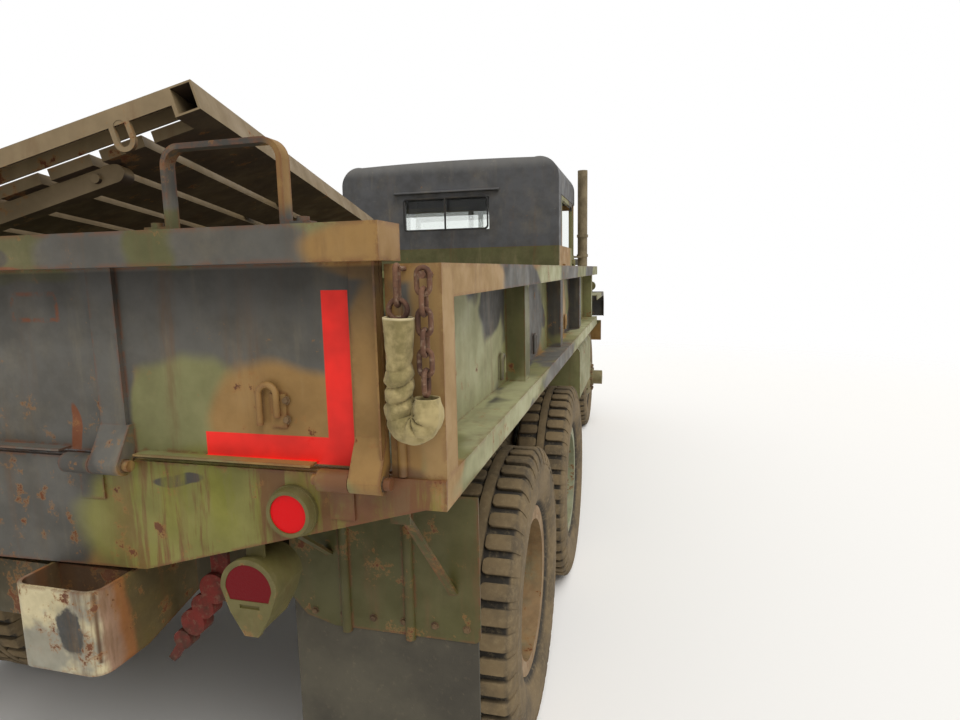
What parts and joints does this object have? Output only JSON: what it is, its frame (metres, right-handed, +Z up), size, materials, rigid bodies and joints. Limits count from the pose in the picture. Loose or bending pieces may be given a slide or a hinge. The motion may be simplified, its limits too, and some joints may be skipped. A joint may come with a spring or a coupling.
{
  "type": "military cargo truck",
  "caption": "Six-wheel-drive military cargo truck with a steel drop-gate bed, hard-top cab and camouflage paint.",
  "frame": {"origin": "on the ground, under the middle of the truck's length and width", "axes": "+X to the truck's right, +Y forward, +Z up"},
  "size_m": [2.438, 6.725, 2.57],
  "materials": {
    "black_plastic": "worn",
    "camouflage_paint": "worn matt camouflage",
    "canvas": "khaki canvas",
    "chassis_paint": "dusty matt",
    "dark_paint": "matt charcoal",
    "engine_paint": "painted, oily",
    "flap_rubber": "dusty",
    "glass": "clear",
    "red_lens": "clear red",
    "rusty_steel": "rusty",
    "seat_canvas": "canvas",
    "tyre_rubber": "dusty",
    "wheel_paint": "matt, rusty"
  },
  "bodies": {
    "root": {"frame": "chassis_paint", "front_bumper": "camouflage_paint", "bumperettes": "camouflage_paint", "pintle_hook": "chassis_paint", "axles": "chassis_paint", "springs": "chassis_paint", "engine": "engine_paint", "driveline": "chassis_paint", "spare_tyre": "tyre_rubber", "spare_rim": "wheel_paint", "cargo_floor": "camouflage_paint", "bed_sills": "chassis_paint", "cargo_walls": "camouflage_paint", "rear_sill": "camouflage_paint", "mudguards": "camouflage_paint", "mud_flaps": "flap_rubber", "lamps": "chassis_paint", "cab_tub": "camouflage_paint", "seat_cushions": "seat_canvas", "fenders": "camouflage_paint", "grille": "camouflage_paint", "hardtop": "dark_paint", "windshield_frame": "camouflage_paint", "cab_glass": "glass", "exhaust_stack": "rusty_steel", "air_cleaner": "camouflage_paint", "fuel_tank": "camouflage_paint", "step_boxes": "camouflage_paint", "air_tanks": "chassis_paint", "cab_mirror": "camouflage_paint", "gate_chains": "rusty_steel", "chain_sleeves": "canvas", "seat_racks": "camouflage_paint", "red_lenses": "red_lens", "headlamp_glass": "glass", "coupling_arm": "rusty_steel"},
    "knuckle_right": {"knuckle_right": "chassis_paint"},
    "knuckle_left": {"knuckle_left": "chassis_paint"},
    "tie_rod": {"tie_rod": "chassis_paint"},
    "wheel_front_right": {"tyre_front_right": "tyre_rubber", "rim_front_right": "wheel_paint"},
    "wheel_front_left": {"tyre_front_left": "tyre_rubber", "rim_front_left": "wheel_paint"},
    "wheel_mid_right": {"tyres_mid_right": "tyre_rubber", "rims_mid_right": "wheel_paint"},
    "wheel_mid_left": {"tyres_mid_left": "tyre_rubber", "rims_mid_left": "wheel_paint"},
    "wheel_rear_right": {"tyres_rear_right": "tyre_rubber", "rims_rear_right": "wheel_paint"},
    "wheel_rear_left": {"tyres_rear_left": "tyre_rubber", "rims_rear_left": "wheel_paint"},
    "door_right": {"door_right": "camouflage_paint"},
    "door_left": {"door_left": "camouflage_paint"},
    "hood": {"hood": "camouflage_paint"},
    "tailgate": {"tailgate": "camouflage_paint"},
    "steering_wheel": {"steering_wheel": "black_plastic"}
  },
  "joints": [
    {"name": "steer_right", "type": "hinge", "parent": "root", "child": "knuckle_right", "pos_m": [0.7, 2.513, 0.51], "axis": [0, 0, 1], "range_deg": [-28, 28]},
    {"name": "steer_left", "type": "hinge", "parent": "root", "child": "knuckle_left", "pos_m": [-0.7, 2.513, 0.51], "axis": [0, 0, 1], "range_deg": [-28, 28]},
    {"name": "tie_rod_pin", "type": "hinge", "parent": "knuckle_right", "child": "tie_rod", "pos_m": [0.7, 2.273, 0.415], "axis": [0, 0, 1], "range_deg": [-28, 28]},
    {"name": "spin_front_right", "type": "hinge", "parent": "knuckle_right", "child": "wheel_front_right", "pos_m": [0.89, 2.513, 0.51], "axis": [1, 0, 0], "continuous": true},
    {"name": "spin_front_left", "type": "hinge", "parent": "knuckle_left", "child": "wheel_front_left", "pos_m": [-0.89, 2.513, 0.51], "axis": [1, 0, 0], "continuous": true},
    {"name": "spin_mid_right", "type": "hinge", "parent": "root", "child": "wheel_mid_right", "pos_m": [0.929, -0.7895, 0.51], "axis": [1, 0, 0], "continuous": true},
    {"name": "spin_mid_left", "type": "hinge", "parent": "root", "child": "wheel_mid_left", "pos_m": [-0.929, -0.7895, 0.51], "axis": [1, 0, 0], "continuous": true},
    {"name": "spin_rear_right", "type": "hinge", "parent": "root", "child": "wheel_rear_right", "pos_m": [0.929, -2.0085, 0.51], "axis": [1, 0, 0], "continuous": true},
    {"name": "spin_rear_left", "type": "hinge", "parent": "root", "child": "wheel_rear_left", "pos_m": [-0.929, -2.0085, 0.51], "axis": [1, 0, 0], "continuous": true},
    {"name": "door_hinge_right", "type": "hinge", "parent": "root", "child": "door_right", "pos_m": [0.929, 1.7915, 1.37], "axis": [0, 0, 1], "range_deg": [0, 70]},
    {"name": "door_hinge_left", "type": "hinge", "parent": "root", "child": "door_left", "pos_m": [-0.929, 1.7915, 1.37], "axis": [0, 0, -1], "range_deg": [0, 70]},
    {"name": "hood_hinge", "type": "hinge", "parent": "root", "child": "hood", "pos_m": [0, 1.9635, 1.775], "axis": [1, 0, 0], "range_deg": [0, 60]},
    {"name": "tailgate_hinge", "type": "hinge", "parent": "root", "child": "tailgate", "pos_m": [0, -3.1435, 1.292], "axis": [1, 0, 0], "range_deg": [0, 138]},
    {"name": "steering_column", "type": "hinge", "parent": "root", "child": "steering_wheel", "pos_m": [-0.5, 1.5695, 1.7], "axis": [0, -0.6157, 0.788], "range_deg": [-560, 560]}
  ],
  "couplings": [
    {"joint": "steer_left", "follows": "steer_right", "ratio": 1},
    {"joint": "tie_rod_pin", "follows": "steer_right", "ratio": -1},
    {"joint": "steering_column", "follows": "steer_right", "ratio": 20}
  ]
}
